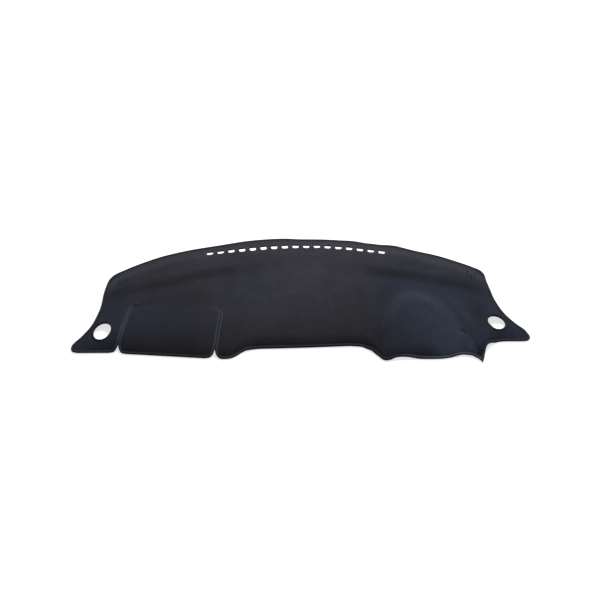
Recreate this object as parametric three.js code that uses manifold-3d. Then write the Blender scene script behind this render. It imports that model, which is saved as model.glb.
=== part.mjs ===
// Moulded felt cover mat for the top of a vehicle dashboard.
// Millimetres, +Z up, +Y towards the windscreen, the floor under the mat at Z 0.
import * as THREE from 'three';
import { mergeVertices } from 'three/addons/utils/BufferGeometryUtils.js';
import Module from 'manifold-3d';

const wasm = await Module();
wasm.setup();

// Driving dimensions
const FELT_THICKNESS = 4;
const BINDING_THICKNESS = 1.2;
const BINDING_WIDTH = 8;
const EDGING_WIDTH = 4;
const CLEARANCE = 0.3;
const FELT_TOP_ON_FLOOR = 5.5;
const FACET_TOLERANCE = 0.1;

const HALF_WIDTH_ON_FLOOR = 672;
const CROWN_POWER = 3.4;
const FIELD_HEIGHT = 48;
const SCREEN_BAND_RISE = 12;
const SCREEN_BAND_STEP_WIDTH = 46;
const CENTRE_RISE = 10;
const HOOD_RISE = 20;
const HOOD_CENTRE = [355, -190];
const HOOD_LEFT_RADIUS = 126;
const HOOD_RIGHT_RADIUS = 132;
const HOOD_DEPTH_RADIUS = 176;
const FRONT_LIP_WIDTH = 36;
const FRONT_LIP_SHARE = 0.15;
const FRONT_SLOPE_AT_EARS = 72;
const FRONT_SLOPE_EXTRA = 190;
const FLARE_CENTRE = 455;
const FLARE_WIDTH = 62;
const REAR_ROLL_WIDTH = 78;
const REAR_ROLL_SHARE = 0.34;
const CORNER_DROP = 16;
const CREASE_START = [484, -172];
const CREASE_END = [535, -268];
const CREASE_RISE = 11;
const CREASE_FACET_WIDTH = 36;

const SLOT_COUNT = 17;
const SLOT_PITCH = 35;
const FIRST_SLOT_X = -288;
const SLOT_WIDTH = 20.5;
const SLOT_DEPTH = 23;
const SLOT_REAR_RADIUS = 3;
const SLOT_FRONT_RADIUS = 7;

// Vent openings: centre x, y, then radius along x and along y
const OPENING_SIDES = 24;
const LEFT_OPENING = [-603, -132.5, 28.5, 34];
const RIGHT_OPENING = [595.5, -138, 28.5, 28];

const PERFORATION_RADIUS = 2;
const PERFORATION_PITCH = 12;
const LEFT_PERFORATIONS = [-563, 80];
const RIGHT_PERFORATIONS = [554, 70];

const SLIT_WIDTH = 0.6;

// Lines across the mat that its surface follows: x, y
const FRONT_ROLL_LINE = [
  [-760, -202], [-572, -205], [-530, -211], [-290, -238], [-236, -242], [-175, -219],
  [-120, -207], [0, -207], [120, -204], [165, -206], [210, -236], [245, -266],
  [345, -264], [490, -264], [531, -262], [562, -230], [594, -204], [760, -201],
];
const REAR_ROLL_LINE = [
  [-760, 60], [-640, 110], [-567, 155], [-459, 184], [-365, 208], [-263, 227],
  [-160, 246], [-60, 253], [34, 247], [150, 238], [229, 222], [338, 200],
  [430, 169], [521, 146], [600, 112], [640, 95], [760, 50],
];
const BAND_FOLD_LINE = [
  [-760, 20], [-604, 39], [-467, 61], [-347, 83], [-249, 104], [-80, 116],
  [84, 108], [246, 86], [369, 63], [513, 31], [576, 15], [760, -20],
];
const SLOT_ROW = [
  [-320, 170], [-291, 172], [-182, 179], [-78, 187], [26, 190], [131, 180], [200, 169], [300, 151],
];

// Outer edge of the binding, anticlockwise from the middle of the windscreen edge: x, y
const REAR_AND_LEFT_EDGE = [
  [4, 248], [-60, 253], [-160, 246], [-263, 226.5], [-365, 208], [-459, 184],
  [-548, 161], [-587, 145], [-610, 121], [-620, 86], [-621, 34], [-622, -20],
  [-628, -57], [-641, -102], [-663, -138], [-683, -165], [-690, -183.5], [-685, -200],
  [-668, -206],
];
const LEFT_SLIT_MOUTH = [[-576, -208.5], [-563, -206], [-555, -199], [-550.7, -191]];
const LEFT_SLIT = [
  [-549.6, -189], [-544.5, -160], [-540, -134], [-535, -106], [-529.5, -76], [-524, -54],
  [-516, -42], [-504, -37.5],
];
const FLAP_LEFT_CORNER = [[-548.6, -191], [-545, -202], [-538.5, -210], [-526, -214.5]];
const FLAP_RIGHT_CORNER = [[-290, -240], [-275, -238], [-266, -231], [-261.5, -221]];
const RIGHT_SLIT = [
  [-260.4, -219], [-255.7, -190], [-252, -155], [-248.2, -128], [-245.2, -102], [-244.2, -88],
];
const CENTRE_FRONT_EDGE = [
  [-259.5, -221], [-257, -231], [-249.5, -240], [-236, -245], [-213, -243], [-195, -233], [-178, -220],
  [-158, -212], [-134, -208.5], [-107, -208], [0, -208], [126, -206], [153, -207],
  [176, -210.5], [196, -222], [210, -235], [223, -251], [233, -262], [243, -267],
  [258, -265.5], [279, -260.5], [304, -260], [328, -262.5], [351, -265], [390, -266.5],
  [415, -265.5], [440, -262], [471, -255], [490, -257], [505, -263], [517, -272],
  [527, -286],
];
const RIGHT_AND_REAR_EDGE = [
  [527, -286], [534, -269], [539, -255], [545.5, -237], [554, -223.5], [567, -214],
  [586, -206], [610, -203], [665, -204], [681, -201], [689, -189], [684, -169.5],
  [675.5, -152.5], [649, -124], [626.5, -89], [613, -47], [605, -5], [603, 43],
  [606, 80], [602, 104], [586, 123], [559, 135], [514, 147], [469, 159],
  [424, 171], [376, 186], [331, 204], [303, 210], [275, 212], [249, 217],
  [223, 222], [197, 230], [170, 235], [140, 238], [84, 244], [4, 248],
];

// Lines that part the felt into panels, each from the front to the windscreen: x, y
const PANEL_LINES = [
  [[-720, -400], [-720, 400]],
  [[-549.5, -400], ...LEFT_SLIT, [-500, 400]],
  [[-260.5, -400], ...RIGHT_SLIT, [-244, 400]],
  [[-10, -400], [-10, 400]],
  [[234, -400], [234, 400]],
  [[545, -400], [545, -236], [505, -180], [500, 400]],
  [[720, -400], [720, 400]],
];
const PANELS = ['left_ear', 'flap', 'middle_left', 'middle_right', 'hood', 'right_ear'];

// Grid that carries the surface
const COLUMNS = [
  -706, -690, -670, -645, -620, -590, -560, -535, -500, -460, -410, -350, -300, -262,
  -236, -212, -190, -150, -75, 0, 75, 150, 185, 210, 232, 250, 268, 288, 315, 350,
  385, 410, 432, 452, 470, 485, 497, 509, 521, 533, 548, 570, 595, 625, 650, 673, 706,
];
const FRONT_ROWS = [-30, -2, 6, 16, 28, 42, 60, 82, 108, 138];
const MIDDLE_SHARES = [0.35, 0.7];
const REAR_ROWS = [-78, -50, -24, 14];

function clamp(value, low, high) {
  return Math.min(Math.max(value, low), high);
}

function ease(value) {
  const t = clamp(value, 0, 1);
  return t * t * (3 - 2 * t);
}

// Height over X through named points, with no overshoot between them
function lineThrough(points) {
  const count = points.length;
  const rises = [];
  for (let i = 0; i < count - 1; i += 1) {
    rises.push((points[i + 1][1] - points[i][1]) / (points[i + 1][0] - points[i][0]));
  }
  const slopes = [rises[0]];
  for (let i = 1; i < count - 1; i += 1) {
    const before = rises[i - 1];
    const after = rises[i];
    slopes.push(before * after <= 0 ? 0 : (2 * before * after) / (before + after));
  }
  slopes.push(rises[count - 2]);
  return (x) => {
    const at = clamp(x, points[0][0], points[count - 1][0]);
    let i = 0;
    while (i < count - 2 && at > points[i + 1][0]) {
      i += 1;
    }
    const width = points[i + 1][0] - points[i][0];
    const t = (at - points[i][0]) / width;
    const start = points[i][1] + slopes[i] * width * t;
    const end = points[i + 1][1] - slopes[i + 1] * width * (1 - t);
    const blend = ease(t);
    return start * (1 - blend) + end * blend;
  };
}

const frontLine = lineThrough(FRONT_ROLL_LINE);
const rearLine = lineThrough(REAR_ROLL_LINE);
const foldLine = lineThrough(BAND_FOLD_LINE);
const slotLine = lineThrough(SLOT_ROW);

function hoodHeight(x, y) {
  const radius = x < HOOD_CENTRE[0] ? HOOD_LEFT_RADIUS : HOOD_RIGHT_RADIUS;
  const across = (x - HOOD_CENTRE[0]) / radius;
  const along = Math.max(0, y - HOOD_CENTRE[1]) / HOOD_DEPTH_RADIUS;
  return HOOD_RISE * (1 - ease((Math.hypot(across, along) - 0.6) / 0.45));
}

// Small raised facet beside the crease that runs to the pointed tab
function facetHeight(x, y) {
  const dx = CREASE_END[0] - CREASE_START[0];
  const dy = CREASE_END[1] - CREASE_START[1];
  const length = Math.hypot(dx, dy);
  const along = ((x - CREASE_START[0]) * dx + (y - CREASE_START[1]) * dy) / (length * length);
  const right = ((y - CREASE_START[1]) * dx - (x - CREASE_START[0]) * dy) / length;
  const rise = CREASE_RISE * ease((along + 0.05) / 0.4) * (1 - 0.55 * clamp(along, 0, 1.2));
  if (right < 0) {
    return rise * clamp(1 + right / CREASE_FACET_WIDTH, 0, 1);
  }
  return rise * clamp(1 - right / 6, 0, 1);
}

// Height of the felt's upper face
function feltTop(x, y) {
  const crown = 1 - (Math.abs(x) / HALF_WIDTH_ON_FLOOR) ** CROWN_POWER;
  const bandStep = (y - foldLine(x)) / SCREEN_BAND_STEP_WIDTH + 1;
  const centre = ease((x + 232) / 50) * ease((236 - x) / 46);
  const low = CENTRE_RISE * centre;
  const field = FIELD_HEIGHT + low + (SCREEN_BAND_RISE - low) * ease(bandStep);
  const hood = hoodHeight(x, y);
  const fromFront = y - frontLine(x);
  const inward = 1 - ease((Math.abs(x + 5) - 420) / 130);
  const slopeWidth = FRONT_SLOPE_AT_EARS + FRONT_SLOPE_EXTRA * inward;
  const slope = Math.sin((Math.PI / 2) * clamp(fromFront / slopeWidth, 0, 1));
  const lip = Math.sin((Math.PI / 2) * clamp(fromFront / FRONT_LIP_WIDTH, 0, 1));
  const flare = Math.exp(-(((x - FLARE_CENTRE) / FLARE_WIDTH) ** 4));
  const even = clamp(fromFront / slopeWidth, 0, 1);
  const curved = slope + FRONT_LIP_SHARE * (lip - slope);
  const frontRoll = curved + 0.8 * flare * (even - curved);
  const fromRear = rearLine(x) - y;
  const rearRoll = 1 - REAR_ROLL_SHARE * (1 - ease(fromRear / REAR_ROLL_WIDTH));
  const corner = CORNER_DROP * ease((Math.abs(x) - 430) / 180) * (1 - ease(fromRear / 120));
  const shape = (field * crown + hood) * rearRoll * frontRoll - corner;
  const free = shape + facetHeight(x, y) - 1;
  if (free < -0.999) {
    return FELT_TOP_ON_FLOOR;
  }
  if (free < 1) {
    return FELT_TOP_ON_FLOOR + (free + 1) ** 2 / 4;
  }
  return FELT_TOP_ON_FLOOR + free;
}

// Vertical length that one millimetre square to the felt takes at a point
function steepness(x, y) {
  if (feltTop(x, y) === FELT_TOP_ON_FLOOR) {
    return 1;
  }
  const step = 2;
  const slopeX = (feltTop(x + step, y) - feltTop(x - step, y)) / (2 * step);
  const slopeY = (feltTop(x, y + step) - feltTop(x, y - step)) / (2 * step);
  return Math.min(Math.sqrt(1 + slopeX * slopeX + slopeY * slopeY), 1.7);
}

function rowsAt(x) {
  const front = frontLine(x);
  const fold = foldLine(x);
  const rear = rearLine(x);
  const rows = FRONT_ROWS.map((distance) => front + distance);
  const start = rows[rows.length - 1];
  const end = fold - SCREEN_BAND_STEP_WIDTH;
  MIDDLE_SHARES.forEach((share) => rows.push(start + (end - start) * share));
  rows.push(end, fold - SCREEN_BAND_STEP_WIDTH / 2, fold);
  const band = rear + REAR_ROWS[0];
  if (band > fold + 12) {
    rows.push(band);
  } else {
    rows.push(fold + 12);
  }
  const last = rows[rows.length - 1];
  REAR_ROWS.slice(1).forEach((distance, i) => {
    rows.push(Math.max(rear + distance, last + 8 * (i + 1)));
  });
  return rows;
}

// Closed slab between two offsets from the felt's upper face, measured square to it
function slab(above, below) {
  const positions = [];
  const grid = COLUMNS.map((x) => rowsAt(x).map((y) => [x, y, feltTop(x, y), steepness(x, y)]));
  const rowCount = grid[0].length;
  [above, below].forEach((offset) => {
    grid.forEach((column) => {
      column.forEach(([x, y, z, steep]) => positions.push(x, y, z + offset * steep));
    });
  });
  const layer = COLUMNS.length * rowCount;
  const index = [];
  const quad = (a, b, c, d) => index.push(a, b, c, a, c, d);
  for (let i = 0; i < COLUMNS.length - 1; i += 1) {
    for (let j = 0; j < rowCount - 1; j += 1) {
      const a = i * rowCount + j;
      const b = a + rowCount;
      quad(a, b, b + 1, a + 1);
      quad(a + layer, a + 1 + layer, b + 1 + layer, b + layer);
    }
  }
  for (let i = 0; i < COLUMNS.length - 1; i += 1) {
    const a = i * rowCount;
    const b = a + rowCount;
    quad(a + layer, b + layer, b, a);
    quad(b + rowCount - 1 + layer, a + rowCount - 1 + layer, a + rowCount - 1, b + rowCount - 1);
  }
  for (let j = 0; j < rowCount - 1; j += 1) {
    const last = (COLUMNS.length - 1) * rowCount + j;
    quad(j + 1 + layer, j + layer, j, j + 1);
    quad(last + layer, last + 1 + layer, last + 1, last);
  }
  const geometry = new THREE.BufferGeometry();
  geometry.setAttribute('position', new THREE.Float32BufferAttribute(positions, 3));
  geometry.setIndex(index);
  return geometry;
}

function spline(points, count) {
  const curve = new THREE.SplineCurve(points.map(([x, y]) => new THREE.Vector2(x, y)));
  return curve.getSpacedPoints(count);
}

// Both sides and the round end of a slit, from its mouth up and back down
function slitEdge(points, count) {
  const middle = spline(points, count);
  const curve = new THREE.SplineCurve(middle);
  const half = SLIT_WIDTH / 2;
  const left = [];
  const right = [];
  middle.forEach((point, i) => {
    const tangent = curve.getTangent(i / (middle.length - 1));
    const side = new THREE.Vector2(-tangent.y, tangent.x).multiplyScalar(half);
    left.push(point.clone().add(side));
    right.push(point.clone().sub(side));
  });
  const end = middle[middle.length - 1];
  const tangent = curve.getTangent(1);
  const heading = Math.atan2(tangent.y, tangent.x);
  const cap = [45, 0, -45].map((degrees) => {
    const angle = heading + THREE.MathUtils.degToRad(degrees);
    return new THREE.Vector2(end.x + half * Math.cos(angle), end.y + half * Math.sin(angle));
  });
  return [...left, ...cap, ...right.reverse()];
}

function boundOutline() {
  const pieces = [
    spline(REAR_AND_LEFT_EDGE, 38),
    spline(LEFT_SLIT_MOUTH, 4),
    slitEdge(LEFT_SLIT, 9),
    spline(FLAP_LEFT_CORNER, 4),
    spline(FLAP_RIGHT_CORNER, 4),
    slitEdge(RIGHT_SLIT, 5),
    spline(CENTRE_FRONT_EDGE, 46),
    spline(RIGHT_AND_REAR_EDGE, 54),
  ];
  const outline = [];
  pieces.flat().forEach((point) => {
    const last = outline[outline.length - 1];
    if (!last || last.distanceTo(point) > 0.5) {
      outline.push(point);
    }
  });
  if (outline[0].distanceTo(outline[outline.length - 1]) < 0.5) {
    outline.pop();
  }
  return outline;
}

function distanceToLoop(point, loop) {
  let nearest = Infinity;
  loop.forEach((start, i) => {
    const end = loop[(i + 1) % loop.length];
    const dx = end.x - start.x;
    const dy = end.y - start.y;
    const share = ((point.x - start.x) * dx + (point.y - start.y) * dy) / (dx * dx + dy * dy);
    const t = clamp(share, 0, 1);
    nearest = Math.min(nearest, Math.hypot(point.x - start.x - t * dx, point.y - start.y - t * dy));
  });
  return nearest;
}

// Loop moved sideways: a positive distance moves an anticlockwise loop inwards
function offsetLoop(loop, distance) {
  const moved = [];
  loop.forEach((point, i) => {
    const before = loop[(i + loop.length - 1) % loop.length];
    const after = loop[(i + 1) % loop.length];
    const into = point.clone().sub(before).normalize();
    const out = after.clone().sub(point).normalize();
    const normal = new THREE.Vector2(-into.y - out.y, into.x + out.x).normalize();
    const reach = distance / Math.max(-into.y * normal.x + into.x * normal.y, 0.35);
    const target = point.clone().addScaledVector(normal, reach);
    if (distanceToLoop(target, loop) > Math.abs(distance) * 0.99) {
      moved.push(target);
    }
  });
  return moved;
}

function circle(centre, radius, sides) {
  const points = [];
  for (let i = 0; i < sides; i += 1) {
    const angle = (2 * Math.PI * i) / sides;
    const x = centre[0] + radius * Math.cos(angle);
    const y = centre[1] + radius * Math.sin(angle);
    points.push(new THREE.Vector2(x, y));
  }
  return points;
}

// Edge of a vent opening, grown outwards by a margin
function openingOutline([x, y, radiusX, radiusY], margin) {
  return circle([0, 0], 1, OPENING_SIDES).map((point) => new THREE.Vector2(
    x + point.x * (radiusX + margin),
    y + point.y * (radiusY + margin),
  ));
}

// Slot with small rear corners and rounder front ones, turned along the row
function slotOutline(x) {
  const y = slotLine(x);
  const turn = Math.atan2(slotLine(x + 5) - slotLine(x - 5), 10);
  const corners = [
    [1, 1, SLOT_REAR_RADIUS, 0],
    [-1, 1, SLOT_REAR_RADIUS, 90],
    [-1, -1, SLOT_FRONT_RADIUS, 180],
    [1, -1, SLOT_FRONT_RADIUS, 270],
  ];
  const points = [];
  corners.forEach(([sideX, sideY, radius, start]) => {
    const centreX = sideX * (SLOT_WIDTH / 2 - radius);
    const centreY = sideY * (SLOT_DEPTH / 2 - radius);
    const steps = radius > 4 ? 3 : 1;
    for (let i = 0; i <= steps; i += 1) {
      const angle = THREE.MathUtils.degToRad(start + (90 * i) / steps);
      const point = new THREE.Vector2(
        centreX + radius * Math.cos(angle),
        centreY + radius * Math.sin(angle),
      );
      point.rotateAround(new THREE.Vector2(0, 0), turn);
      points.push(point.add(new THREE.Vector2(x, y)));
    }
  });
  return points;
}

// Three columns of small punched holes, the middle one shifted by half a pitch
function perforationOutlines(centre, turn) {
  const outlines = [];
  [-1, 0, 1].forEach((column) => {
    [-1, 0, 1].forEach((row) => {
      const shift = column === 0 ? -PERFORATION_PITCH / 2 : 0;
      const point = new THREE.Vector2(column * PERFORATION_PITCH, row * PERFORATION_PITCH + shift);
      point.rotateAround(new THREE.Vector2(0, 0), turn);
      outlines.push(circle([centre[0] + point.x, centre[1] + point.y], PERFORATION_RADIUS, 6));
    });
  });
  return outlines;
}

function solid(geometry) {
  const plain = geometry.clone();
  plain.deleteAttribute('normal');
  plain.deleteAttribute('uv');
  const merged = mergeVertices(plain, 1e-4);
  return new wasm.Manifold(new wasm.Mesh({
    numProp: 3,
    vertProperties: new Float32Array(merged.attributes.position.array),
    triVerts: new Uint32Array(merged.index.array),
  }));
}

function prism(points) {
  const geometry = new THREE.ExtrudeGeometry(new THREE.Shape(points), {
    depth: 200,
    bevelEnabled: false,
  });
  geometry.translate(0, 0, -50);
  return solid(geometry);
}

function meshFrom(manifold, name, material) {
  const result = manifold.simplify(FACET_TOLERANCE).getMesh();
  const stride = result.numProp;
  const positions = [];
  for (let i = 0; i < result.vertProperties.length; i += stride) {
    positions.push(...result.vertProperties.slice(i, i + 3));
  }
  const geometry = new THREE.BufferGeometry();
  geometry.setAttribute('position', new THREE.Float32BufferAttribute(positions, 3));
  geometry.setIndex(Array.from(result.triVerts));
  geometry.computeVertexNormals();
  const mesh = new THREE.Mesh(geometry, material);
  mesh.name = name;
  return mesh;
}

const felt = new THREE.MeshStandardMaterial({ color: 0x2c2e35, roughness: 0.95, metalness: 0 });
const thread = new THREE.MeshStandardMaterial({ color: 0x24262c, roughness: 0.8, metalness: 0 });

const outline = boundOutline();
const wrap = CLEARANCE + BINDING_THICKNESS;
const feltSlab = solid(slab(0, -FELT_THICKNESS));
const innerSlab = solid(slab(CLEARANCE, -FELT_THICKNESS - CLEARANCE));
const outerSlab = solid(slab(wrap, -FELT_THICKNESS - wrap));

// Felt sheet with its slots, round openings and punched holes
let sheet = feltSlab.intersect(prism(offsetLoop(outline, wrap)));
for (let i = 0; i < SLOT_COUNT; i += 1) {
  sheet = sheet.subtract(prism(slotOutline(FIRST_SLOT_X + SLOT_PITCH * i)));
}
[LEFT_OPENING, RIGHT_OPENING].forEach((opening) => {
  sheet = sheet.subtract(prism(openingOutline(opening, 0)));
});
const perforations = [
  ...perforationOutlines(LEFT_PERFORATIONS, 0.2),
  ...perforationOutlines(RIGHT_PERFORATIONS, -0.2),
];
perforations.forEach((points) => {
  sheet = sheet.subtract(prism(points));
});

// Binding that wraps the cut edge as a U, slits included
const bindingInner = prism(offsetLoop(outline, wrap + BINDING_WIDTH));
const bindingCore = innerSlab.intersect(prism(offsetLoop(outline, BINDING_THICKNESS)));
const binding = outerSlab.intersect(prism(outline)).subtract(bindingInner).subtract(bindingCore);

function openingEdging(opening) {
  const hole = prism(openingOutline(opening, -wrap));
  const clear = prism(openingOutline(opening, -CLEARANCE));
  const outer = prism(openingOutline(opening, EDGING_WIDTH));
  const around = prism(openingOutline(opening, EDGING_WIDTH + 2));
  const core = innerSlab.intersect(around).subtract(clear);
  return outerSlab.intersect(outer).subtract(hole).subtract(core);
}

// Upright prisms of the felt's panels, half a clearance inside their lines
function columnPrism(i) {
  const left = PANEL_LINES[i].map(([x, y]) => new THREE.Vector2(x + CLEARANCE / 2, y));
  const right = PANEL_LINES[i + 1].map(([x, y]) => new THREE.Vector2(x - CLEARANCE / 2, y));
  return prism([...right, ...left.reverse()]);
}

function rowPrism(inBand) {
  const seam = COLUMNS.map((x) => {
    const y = foldLine(x) - SCREEN_BAND_STEP_WIDTH;
    return new THREE.Vector2(x, inBand ? y + CLEARANCE / 2 : y - CLEARANCE / 2);
  });
  if (inBand) {
    return prism([...seam, new THREE.Vector2(706, 400), new THREE.Vector2(-706, 400)]);
  }
  return prism([...seam.reverse(), new THREE.Vector2(-706, -400), new THREE.Vector2(706, -400)]);
}

const mat = new THREE.Group();
mat.name = 'dashboard_cover_mat';
const field = rowPrism(false);
const band = rowPrism(true);
PANELS.forEach((panel, i) => {
  const column = columnPrism(i);
  mat.add(meshFrom(sheet.intersect(column.intersect(field)), `felt_${panel}`, felt));
  mat.add(meshFrom(sheet.intersect(column.intersect(band)), `felt_band_${panel}`, felt));
});
mat.add(meshFrom(binding, 'edge_binding', thread));
mat.add(meshFrom(openingEdging(LEFT_OPENING), 'left_opening_edging', thread));
mat.add(meshFrom(openingEdging(RIGHT_OPENING), 'right_opening_edging', thread));

// The origin is at the middle of the base
const bounds = new THREE.Box3().setFromObject(mat);
const middle = bounds.getCenter(new THREE.Vector3());
mat.position.set(-middle.x, -middle.y, -bounds.min.z);

export default mat;
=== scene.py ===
import math

import bpy
import numpy as np
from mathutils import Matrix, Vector, kdtree


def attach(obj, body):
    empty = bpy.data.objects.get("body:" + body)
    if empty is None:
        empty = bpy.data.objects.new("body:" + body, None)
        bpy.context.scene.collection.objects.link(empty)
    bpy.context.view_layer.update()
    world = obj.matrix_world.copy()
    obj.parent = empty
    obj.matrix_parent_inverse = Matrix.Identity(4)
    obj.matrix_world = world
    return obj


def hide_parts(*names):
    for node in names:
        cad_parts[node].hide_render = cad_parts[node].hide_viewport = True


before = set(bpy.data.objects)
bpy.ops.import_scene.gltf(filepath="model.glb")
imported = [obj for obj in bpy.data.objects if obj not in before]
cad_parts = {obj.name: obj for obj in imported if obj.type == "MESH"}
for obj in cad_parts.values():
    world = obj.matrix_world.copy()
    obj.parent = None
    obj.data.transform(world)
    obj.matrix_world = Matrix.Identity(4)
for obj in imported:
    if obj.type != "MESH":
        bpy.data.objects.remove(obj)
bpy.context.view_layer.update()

MM = 0.001
PLAN_SHIFT = (0.065, 16.568)  # from the plan's zero to the middle of the base

FELT_THICKNESS = 4.0
BINDING_THICKNESS = 1.2
CLEARANCE = 0.3
WRAP = CLEARANCE + BINDING_THICKNESS
FELT_TOP_ON_FLOOR = 5.5

HALF_WIDTH_ON_FLOOR = 672.0
CROWN_POWER = 3.4
FIELD_HEIGHT = 48.0
SCREEN_BAND_RISE = 12.0
SCREEN_BAND_STEP_WIDTH = 46.0
CENTRE_RISE = 10.0
CENTRE_LEFT_STEP = (-232.0, 50.0)  # where the raised middle starts, and its step's width
CENTRE_RIGHT_STEP = (236.0, 46.0)
HOOD_RISE = 20.0
HOOD_CENTRE = (355.0, -190.0)
HOOD_LEFT_RADIUS = 126.0
HOOD_RIGHT_RADIUS = 132.0
HOOD_DEPTH_RADIUS = 176.0
HOOD_TOP_SHARE = 0.6
HOOD_SIDE_SHARE = 0.45
FRONT_LIP_WIDTH = 36.0
FRONT_LIP_SHARE = 0.15
FRONT_SLOPE_AT_EARS = 72.0
FRONT_SLOPE_EXTRA = 190.0
FRONT_SLOPE_MIDDLE = -5.0
FRONT_SLOPE_HALF_WIDTH = 420.0
FRONT_SLOPE_FADE = 130.0
FLARE_CENTRE = 455.0
FLARE_WIDTH = 62.0
FLARE_EVENNESS = 0.8
REAR_ROLL_WIDTH = 78.0
REAR_ROLL_SHARE = 0.34
CORNER_DROP = 16.0
CORNER_START = 430.0
CORNER_FADE = 180.0
CORNER_DEPTH = 120.0
CREASE_START = (484.0, -172.0)
CREASE_END = (535.0, -268.0)
CREASE_RISE = 11.0
CREASE_FACET_WIDTH = 36.0

SLOT_COUNT = 17
SLOT_PITCH = 35.0
FIRST_SLOT_X = -288.0
SLOT_WIDTH = 20.5
SLOT_DEPTH = 23.0
SLOT_REAR_RADIUS = 3.0
SLOT_FRONT_RADIUS = 7.0

# Vent openings: centre x, y, then radius along x and along y
LEFT_OPENING = (-603.0, -132.5, 28.5, 34.0)
RIGHT_OPENING = (595.5, -138.0, 28.5, 28.0)
OPENINGS = (LEFT_OPENING, RIGHT_OPENING)

PERFORATION_RADIUS = 2.0
PERFORATION_PITCH = 12.0
PERFORATION_TURN = 0.2
LEFT_PERFORATIONS = (-563.0, 80.0)
RIGHT_PERFORATIONS = (554.0, 70.0)

SLIT_WIDTH = 0.6

FRONT_ROLL_LINE = [
    (-760, -202), (-572, -205), (-530, -211), (-290, -238), (-236, -242), (-175, -219),
    (-120, -207), (0, -207), (120, -204), (165, -206), (210, -236), (245, -266),
    (345, -264), (490, -264), (531, -262), (562, -230), (594, -204), (760, -201),
]
REAR_ROLL_LINE = [
    (-760, 60), (-640, 110), (-567, 155), (-459, 184), (-365, 208), (-263, 227),
    (-160, 246), (-60, 253), (34, 247), (150, 238), (229, 222), (338, 200),
    (430, 169), (521, 146), (600, 112), (640, 95), (760, 50),
]
BAND_FOLD_LINE = [
    (-760, 20), (-604, 39), (-467, 61), (-347, 83), (-249, 104), (-80, 116),
    (84, 108), (246, 86), (369, 63), (513, 31), (576, 15), (760, -20),
]
SLOT_ROW = [
    (-320, 170), (-291, 172), (-182, 179), (-78, 187), (26, 190), (131, 180), (200, 169),
    (300, 151),
]

# Outer edge of the binding, anticlockwise from the middle of the windscreen edge
REAR_AND_LEFT_EDGE = [
    (4, 248), (-60, 253), (-160, 246), (-263, 226.5), (-365, 208), (-459, 184),
    (-548, 161), (-587, 145), (-610, 121), (-620, 86), (-621, 34), (-622, -20),
    (-628, -57), (-641, -102), (-663, -138), (-683, -165), (-690, -183.5), (-685, -200),
    (-668, -206),
]
LEFT_SLIT_MOUTH = [(-576, -208.5), (-563, -206), (-555, -199), (-550.7, -191)]
LEFT_SLIT = [
    (-549.6, -189), (-544.5, -160), (-540, -134), (-535, -106), (-529.5, -76), (-524, -54),
    (-516, -42), (-504, -37.5),
]
FLAP_LEFT_CORNER = [(-548.6, -191), (-545, -202), (-538.5, -210), (-526, -214.5)]
FLAP_RIGHT_CORNER = [(-290, -240), (-275, -238), (-266, -231), (-261.5, -221)]
RIGHT_SLIT = [
    (-260.4, -219), (-255.7, -190), (-252, -155), (-248.2, -128), (-245.2, -102), (-244.2, -88),
]
CENTRE_FRONT_EDGE = [
    (-259.5, -221), (-257, -231), (-249.5, -240), (-236, -245), (-213, -243), (-195, -233),
    (-178, -220), (-158, -212), (-134, -208.5), (-107, -208), (0, -208), (126, -206), (153, -207),
    (176, -210.5), (196, -222), (210, -235), (223, -251), (233, -262), (243, -267),
    (258, -265.5), (279, -260.5), (304, -260), (328, -262.5), (351, -265), (390, -266.5),
    (415, -265.5), (440, -262), (471, -255), (490, -257), (505, -263), (517, -272),
    (527, -286),
]
RIGHT_AND_REAR_EDGE = [
    (527, -286), (534, -269), (539, -255), (545.5, -237), (554, -223.5), (567, -214),
    (586, -206), (610, -203), (665, -204), (681, -201), (689, -189), (684, -169.5),
    (675.5, -152.5), (649, -124), (626.5, -89), (613, -47), (605, -5), (603, 43),
    (606, 80), (602, 104), (586, 123), (559, 135), (514, 147), (469, 159),
    (424, 171), (376, 186), (331, 204), (303, 210), (275, 212), (249, 217),
    (223, 222), (197, 230), (170, 235), (140, 238), (84, 244), (4, 248),
]

# Camera: a 50 mm lens 2.64 m away, 44 degrees above the floor
CAMERA_AZIMUTH = -2.0
CAMERA_ELEVATION = 44.0
CAMERA_DISTANCE = 2.64
CAMERA_LENS = 50.0


def ease(value):
    t = np.clip(value, 0, 1)
    return t * t * (3 - 2 * t)


def line_through(points):
    """Height over X through named points, with no overshoot between them."""
    xs, ys = np.array(points, float).T
    rises = np.diff(ys) / np.diff(xs)
    slopes = np.empty(len(xs))
    slopes[0], slopes[-1] = rises[0], rises[-1]
    product = rises[:-1] * rises[1:]
    total = np.where(product > 0, rises[:-1] + rises[1:], 1)
    slopes[1:-1] = np.where(product > 0, 2 * product / total, 0)

    def at(x):
        x = np.clip(x, xs[0], xs[-1])
        i = np.clip(np.searchsorted(xs, x, side="left") - 1, 0, len(xs) - 2)
        width = xs[i + 1] - xs[i]
        t = (x - xs[i]) / width
        start = ys[i] + slopes[i] * width * t
        end = ys[i + 1] - slopes[i + 1] * width * (1 - t)
        blend = ease(t)
        return start * (1 - blend) + end * blend

    return at


front_line = line_through(FRONT_ROLL_LINE)
rear_line = line_through(REAR_ROLL_LINE)
fold_line = line_through(BAND_FOLD_LINE)
slot_line = line_through(SLOT_ROW)


def hood_distance(x, y):
    """Distance from the instrument hood's middle, about 1 at its foot."""
    radius = np.where(x < HOOD_CENTRE[0], HOOD_LEFT_RADIUS, HOOD_RIGHT_RADIUS)
    across = (x - HOOD_CENTRE[0]) / radius
    along = np.maximum(0, y - HOOD_CENTRE[1]) / HOOD_DEPTH_RADIUS
    return np.hypot(across, along)


def hood_height(x, y):
    return HOOD_RISE * (1 - ease((hood_distance(x, y) - HOOD_TOP_SHARE) / HOOD_SIDE_SHARE))


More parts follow.
